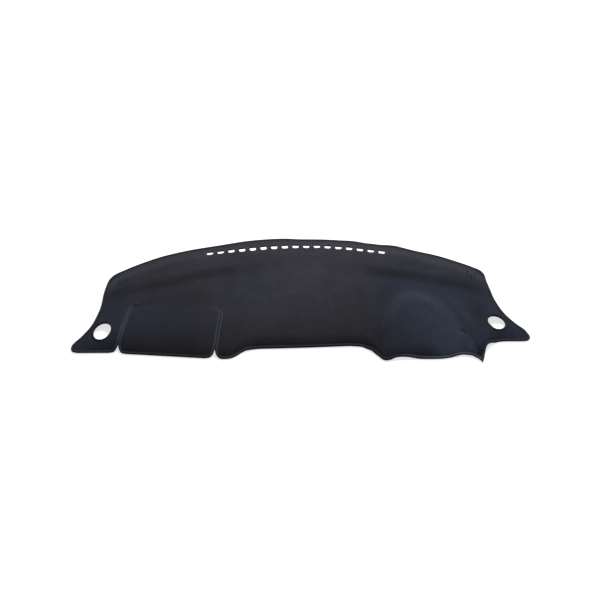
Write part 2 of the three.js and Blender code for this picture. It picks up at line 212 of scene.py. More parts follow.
def flare_share(x):
    """1 at the hood's right foot, where the front slopes evenly, 0 away from it."""
    return np.exp(-(((x - FLARE_CENTRE) / FLARE_WIDTH) ** 4))


def facet_height(x, y):
    """Small raised facet beside the crease that runs to the pointed tab."""
    dx, dy = CREASE_END[0] - CREASE_START[0], CREASE_END[1] - CREASE_START[1]
    length = math.hypot(dx, dy)
    along = ((x - CREASE_START[0]) * dx + (y - CREASE_START[1]) * dy) / length**2
    right = ((y - CREASE_START[1]) * dx - (x - CREASE_START[0]) * dy) / length
    rise = CREASE_RISE * ease((along + 0.05) / 0.4) * (1 - 0.55 * np.clip(along, 0, 1.2))
    left_side = np.clip(1 + right / CREASE_FACET_WIDTH, 0, 1)
    right_side = np.clip(1 - right / 6, 0, 1)
    return rise * np.where(right < 0, left_side, right_side)


def felt_top(x, y):
    """Height of the felt's upper face over the plan."""
    crown = 1 - (np.abs(x) / HALF_WIDTH_ON_FLOOR) ** CROWN_POWER
    band_step = (y - fold_line(x)) / SCREEN_BAND_STEP_WIDTH + 1
    low = CENTRE_RISE * ease((x - CENTRE_LEFT_STEP[0]) / CENTRE_LEFT_STEP[1])
    low = low * ease((CENTRE_RIGHT_STEP[0] - x) / CENTRE_RIGHT_STEP[1])
    field = FIELD_HEIGHT + low + (SCREEN_BAND_RISE - low) * ease(band_step)
    from_front = y - front_line(x)
    from_middle = np.abs(x - FRONT_SLOPE_MIDDLE)
    inward = 1 - ease((from_middle - FRONT_SLOPE_HALF_WIDTH) / FRONT_SLOPE_FADE)
    slope_width = FRONT_SLOPE_AT_EARS + FRONT_SLOPE_EXTRA * inward
    slope = np.sin(math.pi / 2 * np.clip(from_front / slope_width, 0, 1))
    lip = np.sin(math.pi / 2 * np.clip(from_front / FRONT_LIP_WIDTH, 0, 1))
    even = np.clip(from_front / slope_width, 0, 1)
    curved = slope + FRONT_LIP_SHARE * (lip - slope)
    front_roll = curved + FLARE_EVENNESS * flare_share(x) * (even - curved)
    from_rear = rear_line(x) - y
    rear_roll = 1 - REAR_ROLL_SHARE * (1 - ease(from_rear / REAR_ROLL_WIDTH))
    corner = CORNER_DROP * ease((np.abs(x) - CORNER_START) / CORNER_FADE)
    corner = corner * (1 - ease(from_rear / CORNER_DEPTH))
    shape = (field * crown + hood_height(x, y)) * rear_roll * front_roll - corner
    free = shape + facet_height(x, y) - 1
    eased = np.where(free < 1, (np.maximum(free, -1) + 1) ** 2 / 4, free)
    return FELT_TOP_ON_FLOOR + eased


def surface(x, y):
    """Points of the upper face and its unit normals, in millimetres on the plan."""
    step = 1.5
    slope_x = (felt_top(x + step, y) - felt_top(x - step, y)) / (2 * step)
    slope_y = (felt_top(x, y + step) - felt_top(x, y - step)) / (2 * step)
    normal = np.stack([-slope_x, -slope_y, np.ones_like(slope_x)], axis=-1)
    normal /= np.linalg.norm(normal, axis=-1, keepdims=True)
    return np.stack([x, y, felt_top(x, y)], axis=-1), normal


def spline(points, steps=40):
    """Smooth curve through plan points, as dense points."""
    p = np.array(points, float)
    before = np.vstack([p[:1], p[:-1]])
    after = np.vstack([p[2:], p[-1:], p[-1:]])[: len(p)]
    t = np.linspace(0, 1, steps, endpoint=False)[:, None]
    curve = []
    for i in range(len(p) - 1):
        start, end = p[i], p[i + 1]
        lead, trail = (end - before[i]) / 2, (after[i] - start) / 2
        cubic = 2 * start - 2 * end + lead + trail
        square = -3 * start + 3 * end - 2 * lead - trail
        curve.append(cubic * t**3 + square * t**2 + lead * t + start)
    curve.append(p[-1:])
    return np.vstack(curve)


def slit_edge(points):
    """Both sides and the round end of a slit, from its mouth up and back down."""
    middle = spline(points, 24)
    tangent = np.gradient(middle, axis=0)
    tangent /= np.linalg.norm(tangent, axis=1, keepdims=True)
    side = np.stack([-tangent[:, 1], tangent[:, 0]], axis=1) * SLIT_WIDTH / 2
    heading = math.atan2(tangent[-1, 1], tangent[-1, 0])
    angles = heading + np.radians(np.linspace(70, -70, 7))
    cap = middle[-1] + SLIT_WIDTH / 2 * np.stack([np.cos(angles), np.sin(angles)], axis=1)
    return np.vstack([middle + side, cap, (middle - side)[::-1]])


def even_loop(points, step):
    """Closed loop of points at an even spacing along the given one."""
    closed = np.vstack([points, points[:1]])
    length = np.concatenate([[0], np.cumsum(np.linalg.norm(np.diff(closed, axis=0), axis=1))])
    keep = np.concatenate([[True], np.diff(length) > 1e-6])
    count = int(round(length[-1] / step))
    at = np.linspace(0, length[-1], count, endpoint=False)
    return np.stack([np.interp(at, length[keep], closed[keep, k]) for k in (0, 1)], axis=1)


def bound_edge(step):
    """Outer edge of the binding as an even closed loop."""
    pieces = [
        spline(REAR_AND_LEFT_EDGE),
        spline(LEFT_SLIT_MOUTH),
        slit_edge(LEFT_SLIT),
        spline(FLAP_LEFT_CORNER),
        spline(FLAP_RIGHT_CORNER),
        slit_edge(RIGHT_SLIT),
        spline(CENTRE_FRONT_EDGE),
        spline(RIGHT_AND_REAR_EDGE),
    ]
    return even_loop(np.vstack(pieces), step)


def inward_normals(loop):
    """Unit normals that point into an anticlockwise loop, softened over neighbours."""
    tangent = np.roll(loop, -1, axis=0) - np.roll(loop, 1, axis=0)
    tangent /= np.linalg.norm(tangent, axis=1, keepdims=True)
    normal = np.stack([-tangent[:, 1], tangent[:, 0]], axis=1)
    normal = (normal * 2 + np.roll(normal, 1, axis=0) + np.roll(normal, -1, axis=0)) / 4
    return normal / np.linalg.norm(normal, axis=1, keepdims=True)


def distance_finder(loop):
    tree = kdtree.KDTree(len(loop))
    for i, (x, y) in enumerate(loop):
        tree.insert((x, y, 0), i)
    tree.balance()
    return lambda points: np.array([tree.find((x, y, 0))[2] for x, y in points])


def inset_loop(loop, distance, find):
    """Loop moved inwards, with the points that would cross over left out."""
    moved = loop + inward_normals(loop) * distance
    return moved[find(moved) > distance * 0.97]


def circle(centre, radius, sides):
    angles = np.linspace(0, 2 * math.pi, sides, endpoint=False)
    return np.array(centre) + radius * np.stack([np.cos(angles), np.sin(angles)], axis=1)


def opening_outline(opening, margin, sides):
    """Edge of a vent opening, grown outwards by a margin."""
    x, y, radius_x, radius_y = opening
    return circle((0, 0), 1, sides) * (radius_x + margin, radius_y + margin) + (x, y)


def beyond_opening(opening, points):
    """Rough distance of points outside a vent opening's edge."""
    x, y, radius_x, radius_y = opening
    scaled = (points - (x, y)) / (radius_x, radius_y)
    return (np.hypot(scaled[:, 0], scaled[:, 1]) - 1) * (radius_x + radius_y) / 2


def turned(points, angle, centre):
    c, s = math.cos(angle), math.sin(angle)
    return points @ np.array([[c, s], [-s, c]]) + np.array(centre)


def slot_outline(x):
    """Slot with small rear corners and rounder front ones, turned along the row."""
    corners = [
        (1, 1, SLOT_REAR_RADIUS, 0),
        (-1, 1, SLOT_REAR_RADIUS, 90),
        (-1, -1, SLOT_FRONT_RADIUS, 180),
        (1, -1, SLOT_FRONT_RADIUS, 270),
    ]
    points = []
    for side_x, side_y, radius, start in corners:
        angles = np.radians(np.linspace(start, start + 90, 9))
        centre = (side_x * (SLOT_WIDTH / 2 - radius), side_y * (SLOT_DEPTH / 2 - radius))
        points.append(np.array(centre) + radius * np.stack([np.cos(angles), np.sin(angles)], 1))
    turn = math.atan2(float(slot_line(x + 5) - slot_line(x - 5)), 10)
    return turned(np.vstack(points), turn, (x, float(slot_line(x))))


def perforation_outlines(centre, turn):
    """Three columns of small punched holes, the middle one shifted by half a pitch."""
    outlines = []
    for column in (-1, 0, 1):
        shift = -PERFORATION_PITCH / 2 if column == 0 else 0
        for row in (-1, 0, 1):
            place = np.array([(column * PERFORATION_PITCH, row * PERFORATION_PITCH + shift)])
            outlines.append(circle(turned(place, turn, centre)[0], PERFORATION_RADIUS, 10))
    return outlines


# Mesh helpers
def deselect_all():
    if bpy.context.object and bpy.context.object.mode != "OBJECT":
        bpy.ops.object.mode_set(mode="OBJECT")
    bpy.ops.object.select_all(action="DESELECT")


def make_active(piece):
    deselect_all()
    piece.select_set(True)
    bpy.context.view_layer.objects.active = piece


def points_of(piece):
    co = np.empty(len(piece.data.vertices) * 3)
    piece.data.vertices.foreach_get("co", co)
    return co.reshape(-1, 3)


def place_points(piece, points):
    piece.data.vertices.foreach_set("co", np.asarray(points, float).ravel())
    piece.data.update()


def to_row(points):
    """Plan millimetres to metres in the row's frame."""
    moved = np.array(points, float)
    moved[:, 0] += PLAN_SHIFT[0]
    moved[:, 1] += PLAN_SHIFT[1]
    return moved * MM


def prism(name, outline, low, high):
    """Upright prism over a plan outline, in plan millimetres."""
    deselect_all()
    bpy.ops.mesh.primitive_circle_add(vertices=len(outline), radius=1, fill_type="NGON")
    piece = bpy.context.object
    piece.name = name
    order = points_of(piece)
    angles = np.arctan2(order[:, 1], order[:, 0])
    ranks = np.argsort(np.argsort(np.mod(angles - angles[0] + 1e-9, 2 * math.pi)))
    flat = np.column_stack([outline[ranks], np.full(len(outline), low)])
    place_points(piece, flat)
    bpy.ops.object.mode_set(mode="EDIT")
    bpy.ops.mesh.select_all(action="SELECT")
    bpy.ops.mesh.extrude_region_move(TRANSFORM_OT_translate={"value": (0, 0, high - low)})
    bpy.ops.mesh.select_all(action="SELECT")
    bpy.ops.mesh.normals_make_consistent(inside=False)
    bpy.ops.object.mode_set(mode="OBJECT")
    return piece


def join(pieces, name):
    deselect_all()
    for piece in pieces:
        piece.select_set(True)
    bpy.context.view_layer.objects.active = pieces[0]
    bpy.ops.object.join()
    pieces[0].name = name
    return pieces[0]


def cut(piece, cutter, operation):
    make_active(piece)
    modifier = piece.modifiers.new("cut", "BOOLEAN")
    modifier.operation = operation
    modifier.solver = "EXACT"
    modifier.object = cutter
    bpy.ops.object.modifier_apply(modifier="cut")
    bpy.data.objects.remove(cutter, do_unlink=True)


def give_attribute(piece, name, values):
    attribute = piece.data.attributes.new(name, "FLOAT", "POINT")
    attribute.data.foreach_set("value", np.asarray(values, np.float32))


def smooth(piece, degrees):
    make_active(piece)
    bpy.ops.object.shade_smooth_by_angle(angle=math.radians(degrees))
    deselect_all()


# The felt: a flat sheet is cut out first, then moulded over the dashboard's shape
FELT_CELL = 5.0
SHEET_LOW = (-700.0, -292.0)
SHEET_HIGH = (700.0, 263.0)
FINE_EDGE_WIDTH = 17.0
FINE_OPENING_WIDTH = 12.0
FINE_PERFORATIONS_RADIUS = 26.0

edge_loop = bound_edge(1.0)
distance_to_edge = distance_finder(edge_loop)


def small_holes():
    """Both groups of punched holes in the rear corners."""
    left = perforation_outlines(LEFT_PERFORATIONS, PERFORATION_TURN)
    return left + perforation_outlines(RIGHT_PERFORATIONS, -PERFORATION_TURN)


# Patches of painted light (gain above 0) and painted shade (gain below 0) on the felt: x, y, reach
# x, reach y, gain
PAINTED_LIGHT_AND_SHADE_PATCHES = [
    (-50, -20, 190, 130, 0.40),
    (-160, -110, 90, 60, 0.20),
    (60, 150, 280, 50, 0.32),
    (400, -120, 80, 110, 0.32),
    (468, -205, 50, 60, 0.45),
    (502, -232, 20, 36, 0.75),
    (-400, 15, 150, 60, -0.10),
    (235, -200, 30, 55, -0.28),
    (-166, 80, 80, 50, -0.22),
    (-20, 128, 130, 24, -0.22),
    (258, -30, 45, 80, -0.16),
    (515, 32, 110, 32, -0.27),
    (542, -110, 32, 90, -0.26),
    (-574, 30, 50, 50, -0.16),
    (-296, 143, 60, 24, 0.22),
    (82, 50, 60, 50, 0.12),
    (-400, -200, 170, 50, -0.34),
    (-150, 215, 90, 25, -0.18),
    (150, -212, 50, 24, -0.18),
    (-330, -40, 120, 60, -0.10),
]

# Crease lines in the felt, as plan points; painted shade or painted light runs along each
HOOD_CREASE = [
    (484, -173), (490, -181), (496, -188), (502, -196), (509, -210), (516, -224),
    (522, -240), (531, -256),
]
FACET_LINE = [(487, -186), (479, -244)]
HOOK_CREASE = [(-509, -38), (-493, -42), (-480, -39), (-462, -38)]
SLIT_END_CREASE = [(-277, -69), (-263, -73), (-253, -80), (-247, -88)]
FLAP_HINGE = [(-464, -56), (-417, -62), (-370, -68), (-324, -73), (-280, -70)]
# Each with its half width and its gain in painted light, below 0 for painted shade
CREASES = [
    (HOOD_CREASE, 5.0, -0.80),
    (FACET_LINE, 3.5, -0.14),
    (HOOK_CREASE, 4.0, -0.30),
    (SLIT_END_CREASE, 4.0, 0.55),
    (FLAP_HINGE, 9.0, 0.10),
]
CREASE_CELL_MARGIN = 5.0

SLIT_RIM_WIDTH = 13.0
SLIT_RIM_FADE = 8.0
# Painted light on the instrument hood's dome, and painted shade on the front lip where it turns
# down
DOME_PAINTED_LIGHT = 0.16
DOME_PAINTED_LIGHT_START = 0.86
DOME_PAINTED_LIGHT_FADE = 0.14
LIP_PAINTED_SHADE = -0.22
LIP_REACH = 34.0

# Where the felt leans to blue: x, y, reach x, reach y, share
BLUE_PATCHES = [(-500, -95, 80, 75, 0.8), (-400, -115, 120, 70, 0.35), (-170, -10, 60, 50, 0.45)]
BLUE_RIGHT_START = (200.0, 100.0)  # distance from the middle, and the fade to full blue
BLUE_LEFT_START = (520.0, 60.0)
BLUE_ON_BAND = 0.3
BLUE_FRONT_START = (60.0, 60.0)

# Painted shade on the felt beside its overlocked edge: its width and its fade
EDGE_SHADE_WIDTH = 8.5
EDGE_SHADE_FADE = 4.5


def patch(x, y, centre_x, centre_y, reach_x, reach_y):
    """Soft round patch, 1 at its centre."""
    return np.exp(-(((x - centre_x) / reach_x) ** 2) - ((y - centre_y) / reach_y) ** 2)


def distance_to_path(x, y, path):
    """Distance from plan points to a line through named points."""
    nearest = np.full(np.shape(x), np.inf)
    for (start_x, start_y), (end_x, end_y) in zip(path[:-1], path[1:]):
        dx, dy = end_x - start_x, end_y - start_y
        along = np.clip(((x - start_x) * dx + (y - start_y) * dy) / (dx**2 + dy**2), 0, 1)
        apart = np.hypot(x - start_x - along * dx, y - start_y - along * dy)
        nearest = np.minimum(nearest, apart)
    return nearest


def beside_slits(x, y):
    """1 along the flap's two slits, 0 away from them."""
    apart = np.minimum(distance_to_path(x, y, LEFT_SLIT), distance_to_path(x, y, RIGHT_SLIT))
    return 1 - ease((apart - SLIT_RIM_WIDTH) / SLIT_RIM_FADE)


def painted_light_and_shade(x, y):
    """Painted light and painted shade on the felt: lighter and darker patches, along the crease
    lines, a lighter hood dome and a darker front lip.
    """
    tone = np.ones_like(x)
    for *place, gain in PAINTED_LIGHT_AND_SHADE_PATCHES:
        tone += gain * patch(x, y, *place)
    # The hood's dome gets painted light
    dome = 1 - ease((hood_distance(x, y) - DOME_PAINTED_LIGHT_START) / DOME_PAINTED_LIGHT_FADE)
    # Painted shade along the crease lines whose gain is below 0, painted light along those above 0
    for path, half_width, gain in CREASES:
        tone *= 1 + gain * np.exp(-((distance_to_path(x, y, path) / half_width) ** 2))
    # The front lip, where it turns down, gets painted shade, less where the front slopes evenly at
    # the hood's right foot
    lip = np.exp(-np.maximum(y - front_line(x), 0) / LIP_REACH)
    return tone + DOME_PAINTED_LIGHT * dome + LIP_PAINTED_SHADE * lip * (1 - flare_share(x))


def nap_blue(x, y):
    """How much the felt leans to blue, mostly towards both ends of the mat."""
    in_front = ease((BLUE_FRONT_START[0] - y) / BLUE_FRONT_START[1])
    in_front = BLUE_ON_BAND + (1 - BLUE_ON_BAND) * in_front
    blue = ease((x - BLUE_RIGHT_START[0]) / BLUE_RIGHT_START[1]) * in_front
    blue += ease((-x - BLUE_LEFT_START[0]) / BLUE_LEFT_START[1]) * in_front
    for *place, share in BLUE_PATCHES:
        blue += share * patch(x, y, *place)
    return np.clip(blue, 0, 1)


def edge_shade_share(x, y, to_edge):
    """How much painted shade darkens the felt beside its overlocked edge, none beside the flap's
    slits.
    """
    beside = 1 - ease((to_edge - EDGE_SHADE_WIDTH) / EDGE_SHADE_FADE)
    return beside * (1 - beside_slits(x, y))


def blank_sheet():
    """Flat blank of felt, with finer cells along its future edges."""
    span = np.subtract(SHEET_HIGH, SHEET_LOW)
    columns, rows = (round(side / FELT_CELL) for side in span)
    deselect_all()
    bpy.ops.mesh.primitive_grid_add(x_subdivisions=columns, y_subdivisions=rows, size=1)
    sheet = bpy.context.object
    sheet.name = "felt_cover"
    flat = (points_of(sheet)[:, :2] + 0.5) * span + SHEET_LOW
    place_points(sheet, np.column_stack([flat, np.zeros(len(flat))]))
    near = distance_to_edge(flat) < FINE_EDGE_WIDTH
    for opening in OPENINGS:
        near |= np.abs(beyond_opening(opening, flat)) < FINE_OPENING_WIDTH
    for centre in (LEFT_PERFORATIONS, RIGHT_PERFORATIONS):
        near |= np.hypot(*(flat - centre).T) < FINE_PERFORATIONS_RADIUS
    for path, half_width, _ in CREASES:
        near |= distance_to_path(*flat.T, path) < half_width + CREASE_CELL_MARGIN
    bpy.ops.object.mode_set(mode="EDIT")
    bpy.ops.mesh.select_mode(type="VERT")
    bpy.ops.mesh.select_all(action="DESELECT")
    bpy.ops.object.mode_set(mode="OBJECT")
    sheet.data.vertices.foreach_set("select", near)
    bpy.ops.object.mode_set(mode="EDIT")
    bpy.ops.mesh.select_mode(type="FACE")
    bpy.ops.mesh.subdivide(number_cuts=1)
    bpy.ops.mesh.select_all(action="SELECT")
    down = {"value": (0, 0, -FELT_THICKNESS)}
    bpy.ops.mesh.extrude_region_move(TRANSFORM_OT_translate=down)
    bpy.ops.mesh.select_all(action="SELECT")
    bpy.ops.mesh.normals_make_consistent(inside=False)
    bpy.ops.object.mode_set(mode="OBJECT")
    return sheet


def punch_holes(sheet):
    """Defroster slots, round vent openings and the small punched holes."""
    low, high = -FELT_THICKNESS - 6, 6
    outlines = [slot_outline(FIRST_SLOT_X + SLOT_PITCH * i) for i in range(SLOT_COUNT)]
    outlines += [opening_outline(opening, 0, 72) for opening in OPENINGS]
    outlines += small_holes()
    punches = [prism("punch", outline, low, high) for outline in outlines]
    cut(sheet, join(punches, "punches"), "DIFFERENCE")


def mould(sheet):
    """The flat cut sheet takes the shape of the dashboard."""
    flat = points_of(sheet)
    x, y = flat[:, 0], flat[:, 1]
    top, normal = surface(x, y)
    to_edge = distance_to_edge(flat[:, :2])
    for opening in OPENINGS:
        to_edge = np.minimum(to_edge, beyond_opening(opening, flat[:, :2]) + WRAP + 2)
    depth = np.clip(-flat[:, 2], 0, FELT_THICKNESS)
    place_points(sheet, to_row(top - normal * depth[:, None]))
    # Attributes for the painted shade beside the edges, the painted light and shade over the felt,
    # and the distance to the punched holes
    give_attribute(sheet, "edge_shade", edge_shade_share(x, y, to_edge))
    give_attribute(sheet, "painted_light_and_shade", painted_light_and_shade(x, y))
    give_attribute(sheet, "nap_blue", nap_blue(x, y))
    # Distance to the nearest punched hole, for the painted shade in and around the holes
    punched = np.array([outline.mean(axis=0) for outline in small_holes()])
    apart = np.hypot(x[:, None] - punched[:, 0], y[:, None] - punched[:, 1])
    give_attribute(sheet, "punch_distance", apart.min(axis=1))


felt_cover = blank_sheet()
cut_line = inset_loop(edge_loop, WRAP, distance_to_edge)
cut(felt_cover, prism("cut_line", cut_line, -12, 8), "INTERSECT")
punch_holes(felt_cover)
mould(felt_cover)
smooth(felt_cover, 50)

# Overlocked edges: a U of thread round the cut edge, as (distance in, height over the felt)
OVERLOCK_SECTION = np.array([
    (8.0, 0.15), (7.6, 0.55), (6.2, 0.9), (5.0, 1.75), (3.7, 2.0), (2.4, 1.5), (0.8, 0.5),
    (-0.1, -0.6), (-0.28, -2.0), (0.0, -3.6), (0.8, -4.75), (2.2, -5.3), (4.2, -5.45),
    (6.3, -5.25), (7.7, -4.9), (8.0, -4.2), (1.3, -4.2), (1.3, 0.15),
])
STITCH_PITCH = 4.0
STITCH_RELIEF = 0.28
STITCH_SLANT = 0.35


def rim_painted_light_and_shade(x, y):
    """Painted highlight on the thread under the hood and on the right ear, painted shade under the
    flap and at the hook's end.
    """
    under_hood = ease((x - 285) / 50) * ease((531 - x) / 8) * ease((-y - 235) / 12)
    under_flap = ease((-275 - x) / 15) * ease((x + 535) / 15) * ease((-y - 195) / 10)
    hook_end = np.exp(-(np.hypot(x + 509, y + 39) / 14) ** 2)
    on_ear = ease((x - 600) / 20) * ease((y + 190) / 20) * ease((-60 - y) / 40)
    return 1.05 * under_hood - 0.3 * under_flap - 0.5 * hook_end + 0.3 * on_ear


def overlock(name, loop, find, section, tone=1.0, off_ridge_shade=0.4):
    """Closed band of thread along a loop, its section laid square to the felt."""
    count, around = len(loop), len(section)
    normals = inward_normals(loop)
    reach = np.full(count, section[:, 0].max() + 0.2)
    for distance in np.arange(0.5, section[:, 0].max() + 0.5, 0.5):
        crossed = find(loop + normals * distance) < distance * 0.96
        reach = np.where(crossed & (reach > distance), distance - 0.5, reach)
    reach = np.maximum(reach - 0.2, 0.3)
    step = float(np.linalg.norm(loop[1] - loop[0]))
    stitches = round(count * step / STITCH_PITCH)
    phase = 2 * math.pi * stitches * np.arange(count) / count
    rings = []
    for inset, height in section:
        ring = loop + normals * np.minimum(inset, reach)[:, None]
        top, up = surface(ring[:, 0], ring[:, 1])
        outside = 0.3 < inset < section[:, 0].max() - 0.1 and not -4.21 < height < 0.16
        relief = STITCH_RELIEF * np.cos(phase + STITCH_SLANT * inset) if outside else 0
        side = 1 if height > -2 else -1
        lift = height + side * relief - (STITCH_RELIEF * side if outside else 0)
        rings.append(top + up * np.broadcast_to(lift, (count,))[:, None])
    deselect_all()
    bpy.ops.mesh.primitive_grid_add(x_subdivisions=around, y_subdivisions=count, size=1)
    band = bpy.context.object
    band.name = name
    flat = points_of(band)
    k = np.rint((flat[:, 0] + 0.5) * around).astype(int) % around
    i = np.rint((flat[:, 1] + 0.5) * count).astype(int) % count
    place_points(band, to_row(np.stack(rings)[k, i]))
    give_attribute(band, "from_edge", section[k, 0] + np.where(section[k, 1] < -2, 20, 0))
    beside = beside_slits(*loop.T)
    # Painted shade on the thread off its bead's ridge, weaker beside the slits
    give_attribute(band, "off_ridge_shade", (off_ridge_shade + (0.85 - off_ridge_shade) * beside)[i])
    # The thread's tone, a little lighter beside the slits, plus the painted highlight and painted
    # shade along the rim
    give_attribute(band, "thread_tone", (tone * (1 + 0.12 * beside) + rim_painted_light_and_shade(*loop.T))[i])
    lay_stitch_map(band, flat, stitches, section[:, 0].max())
    bpy.ops.object.mode_set(mode="EDIT")
    bpy.ops.mesh.select_all(action="SELECT")
    bpy.ops.mesh.remove_doubles(threshold=1e-6)
    bpy.ops.mesh.normals_make_consistent(inside=False)
    bpy.ops.object.mode_set(mode="OBJECT")
    smooth(band, 60)
    return band


def lay_stitch_map(band, flat, stitches, width):
    """U runs along the edge, one unit a stitch, and V round the section."""
    corners = np.empty(len(band.data.loops), int)
    band.data.loops.foreach_get("vertex_index", corners)
    u = (flat[corners, 1] + 0.5) * stitches
    v = (flat[corners, 0] + 0.5) * 2 * width
    band.data.uv_layers.active.data.foreach_set("uv", np.stack([u, v], axis=1).ravel())


edge_overlock = overlock("edge_overlock", edge_loop, distance_to_edge, OVERLOCK_SECTION)

opening_overlocks = []
opening_section = OVERLOCK_SECTION * (0.72, 1)
opening_section[16:, 0] = 1.3
for side, opening in zip(("left", "right"), OPENINGS):
    rim = opening_outline(opening, -WRAP, 192)[::-1]
    clear = lambda points: np.full(len(points), 99.0)
    band = overlock(f"{side}_opening_overlock", rim, clear, opening_section, tone=0.5)
    opening_overlocks.append(band)


# Materials
class Nodes:
    """Short names for adding and joining nodes in one tree."""

    def __init__(self, tree):
        self.tree = tree

    def add(self, kind, **settings):
        node = self.tree.nodes.new(kind)
        for name, value in settings.items():
            setattr(node, name, value)
        return node

    def feed(self, node, **inputs):
        for name, value in inputs.items():
            socket = node.inputs[name.replace("_", " ")]
            if isinstance(value, bpy.types.NodeSocket):
                self.tree.links.new(value, socket)
            else:
                socket.default_value = value
        return node

    def math(self, operation, a, b=0.0, c=0.0):
        node = self.add("ShaderNodeMath", operation=operation)
        for socket, value in zip(node.inputs, (a, b, c)):
            if isinstance(value, bpy.types.NodeSocket):
                self.tree.links.new(value, socket)
            else:
                socket.default_value = value
        return node.outputs[0]

    def between(self, value, low, high, to_low=0.0, to_high=1.0):
        node = self.add("ShaderNodeMapRange", interpolation_type="SMOOTHSTEP")
        self.feed(node, Value=value, From_Min=low, From_Max=high, To_Min=to_low, To_Max=to_high)
        return node.outputs["Result"]

    def blend(self, factor, a, b, kind="MIX"):
        node = self.add("ShaderNodeMix", data_type="RGBA", blend_type=kind)
        for socket, value in zip((node.inputs[0], node.inputs[6], node.inputs[7]), (factor, a, b)):
            if isinstance(value, bpy.types.NodeSocket):
                self.tree.links.new(value, socket)
            else:
                socket.default_value = value
        return node.outputs[2]


def fibre_group():
    """Tangled short fibres: shade, height and stray light fibres over Object coordinates."""
    tree = bpy.data.node_groups.new("tangled fibres", "ShaderNodeTree")
    for name, kind in (("Position", "Vector"), ("Fineness", "Float"), ("Contrast", "Float")):
        tree.interface.new_socket(name=name, in_out="INPUT", socket_type=f"NodeSocket{kind}")
    for name in ("Shade", "Height", "Stray"):
        tree.interface.new_socket(name=name, in_out="OUTPUT", socket_type="NodeSocketFloat")
    n = Nodes(tree)
    given = n.add("NodeGroupInput").outputs
    clump = n.add("ShaderNodeTexNoise")
    n.feed(clump, Vector=given["Position"], Scale=given["Fineness"], Detail=5.0, Roughness=0.72)
    clump.inputs["Distortion"].default_value = 0.6
    finer = n.math("MULTIPLY", given["Fineness"], 3.1)
    strand = n.add("ShaderNodeTexNoise")
    n.feed(strand, Vector=given["Position"], Scale=finer, Detail=3.0, Roughness=0.65)
    strand.inputs["Distortion"].default_value = 1.8
    lint = n.add("ShaderNodeTexNoise")
    n.feed(lint, Vector=given["Position"], Scale=n.math("MULTIPLY", given["Fineness"], 1.7))
    lint.inputs["Detail"].default_value = 1.0
    both = n.math("ADD", clump.outputs[0], n.math("MULTIPLY", strand.outputs[0], 0.6))
    centred = n.math("SUBTRACT", both, 0.8)
    shade = n.math("ADD", n.math("MULTIPLY", centred, given["Contrast"]), 1.0)
    out = n.add("NodeGroupOutput")
    tree.links.new(shade, out.inputs["Shade"])
    tree.links.new(both, out.inputs["Height"])
    tree.links.new(n.between(lint.outputs[0], 0.70, 0.78), out.inputs["Stray"])
    return tree


fibres = fibre_group()


def new_material(name):
    material = bpy.data.materials.new(name)
    material.use_nodes = True
    material.node_tree.nodes.clear()
    n = Nodes(material.node_tree)
    shader = n.add("ShaderNodeBsdfPrincipled")
    output = n.add("ShaderNodeOutputMaterial")
    material.node_tree.links.new(shader.outputs[0], output.inputs["Surface"])
    return material, n, shader


def fibres_in(n, position, fineness, contrast):
    group = n.add("ShaderNodeGroup", node_tree=fibres)
    n.feed(group, Position=position, Fineness=fineness, Contrast=contrast)
    return group.outputs


FELT_GREY = (0.0238, 0.0240, 0.0310, 1)
FELT_BLUE = (0.0186, 0.0237, 0.0388, 1)
FELT_FADED = (0.0292, 0.0283, 0.0355, 1)
STRAY_FIBRE = (0.085, 0.088, 0.10, 1)
THREAD_DARK = (0.0130, 0.0145, 0.0205, 1)
# Painted highlight colour for the thread's raised strands
THREAD_PAINTED_HIGHLIGHT = (0.0430, 0.0480, 0.0660, 1)


def read_attribute(n, name):
    return n.add("ShaderNodeAttribute", attribute_name=name).outputs["Fac"]


def felt_material():
    material, n, shader = new_material("black needled felt")
    position = n.add("ShaderNodeTexCoord").outputs["Object"]
    fine = fibres_in(n, position, 300.0, 1.45)
    patches = n.add("ShaderNodeTexNoise")
    n.feed(patches, Vector=position, Scale=14.0, Detail=4.0, Roughness=0.6)
    wear = n.add("ShaderNodeTexNoise")
    n.feed(wear, Vector=position, Scale=60.0, Detail=4.0, Roughness=0.7)
    base = n.blend(read_attribute(n, "nap_blue"), FELT_GREY, FELT_BLUE)
    base = n.blend(n.between(wear.outputs[0], 0.40, 0.75, 0.0, 0.45), base, FELT_FADED)
    # The fibre shade times the painted light and painted shade laid over the felt
    tone = n.math("MULTIPLY", n.math("MAXIMUM", fine["Shade"], 0.25), read_attribute(n, "painted_light_and_shade"))
    tone = n.math("MULTIPLY", tone, n.between(patches.outputs[0], 0.3, 0.7, 0.90, 1.10))
    # Painted shade on the felt beside the overlocked edges
    edge_shade = n.math("MULTIPLY_ADD", read_attribute(n, "edge_shade"), -0.40, 1.0)
    # Painted shade in and around the small punched holes, a quarter as light inside 2.2 mm of a
    # hole's centre
    punched = n.between(read_attribute(n, "punch_distance"), 2.2, 3.6, 0.25, 1.0)
    tone = n.math("MULTIPLY", tone, n.math("MULTIPLY", edge_shade, punched))
    shaded = n.add("ShaderNodeVectorMath", operation="SCALE")
    n.feed(shaded, Vector=base, Scale=tone)
    speckled = n.blend(n.math("MULTIPLY", fine["Stray"], 0.5), shaded.outputs[0], STRAY_FIBRE)
    n.feed(shader, Base_Color=speckled, Roughness=0.96, IOR=1.4)
    shader.inputs["Specular IOR Level"].default_value = 0.18
    shader.inputs["Sheen Weight"].default_value = 0.10
    shader.inputs["Sheen Roughness"].default_value = 0.45
    shader.inputs["Sheen Tint"].default_value = (0.80, 0.82, 1.0, 1)
    bump = n.add("ShaderNodeBump")
    n.feed(bump, Strength=0.55, Distance=0.0012, Height=fine["Height"])
    n.feed(shader, Normal=bump.outputs[0])
    return material


